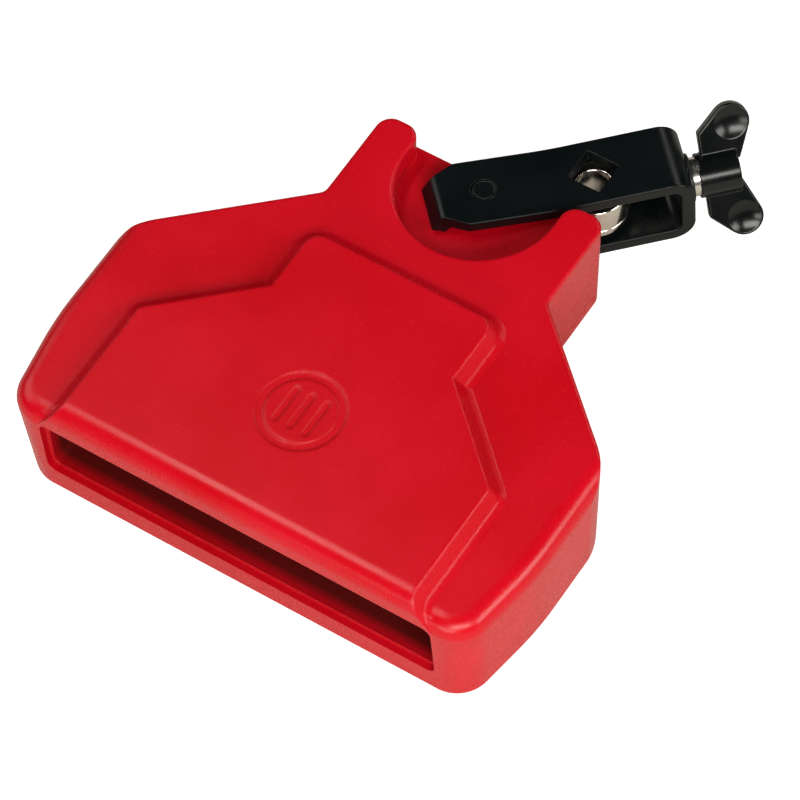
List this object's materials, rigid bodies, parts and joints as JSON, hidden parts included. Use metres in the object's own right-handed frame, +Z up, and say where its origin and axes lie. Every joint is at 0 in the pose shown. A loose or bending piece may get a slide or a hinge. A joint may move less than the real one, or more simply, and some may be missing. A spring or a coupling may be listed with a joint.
{
  "type": "percussion block",
  "caption": "Moulded percussion block with a slot mouth, struck on its raised panel, held on a rod by a swivelling strap clamp tightened with a wing nut.",
  "frame": {"origin": "a point on the block's flat underside, on the block's plane of symmetry, 54 mm behind the mouth", "axes": "+X along the mouth, +Y from the mouth to the horns, +Z up, away from the flat underside"},
  "size_m": [0.187, 0.2232, 0.05],
  "materials": {
    "red_plastic": "satin, very fine grain",
    "black_coat": "satin powder coat",
    "dark_steel": "blackened, worn bright at the rim",
    "nickel": "bright nickel plate",
    "zinc_steel": "zinc plate",
    "black_washer": "matt",
    "black_plastic": "satin, slightly warmer than the strap"
  },
  "bodies": {
    "block": {"block_body": "red_plastic"},
    "clamp": {"clamp_strap": "black_coat", "pivot_sleeve": "dark_steel", "pivot_pin": "black_coat", "friction_washer": "black_washer"},
    "nut": {"nut_insert": "zinc_steel", "wing_nut": "black_plastic"},
    "eye": {"eye_bolt": "nickel"}
  },
  "joints": [
    {"name": "clamp_swivel", "type": "hinge", "parent": "block", "child": "clamp", "pos_m": [0, 0.0956, 0.0224], "axis": [0, 0, 1], "range_deg": [-7, 97]},
    {"name": "wing_spin", "type": "hinge", "parent": "clamp", "child": "nut", "pos_m": [0.05374, 0.14934, 0.0224], "axis": [-0.7071, -0.7071, 0], "range_deg": [-721, 1153]},
    {"name": "eye_slide", "type": "slide", "parent": "clamp", "child": "eye", "axis": [0.7071, 0.7071, 0], "range_m": [-0.0025, 0.004]}
  ],
  "couplings": [
    {"joint": "wing_spin", "follows": "eye_slide", "rad_per_m": 5026.5}
  ]
}
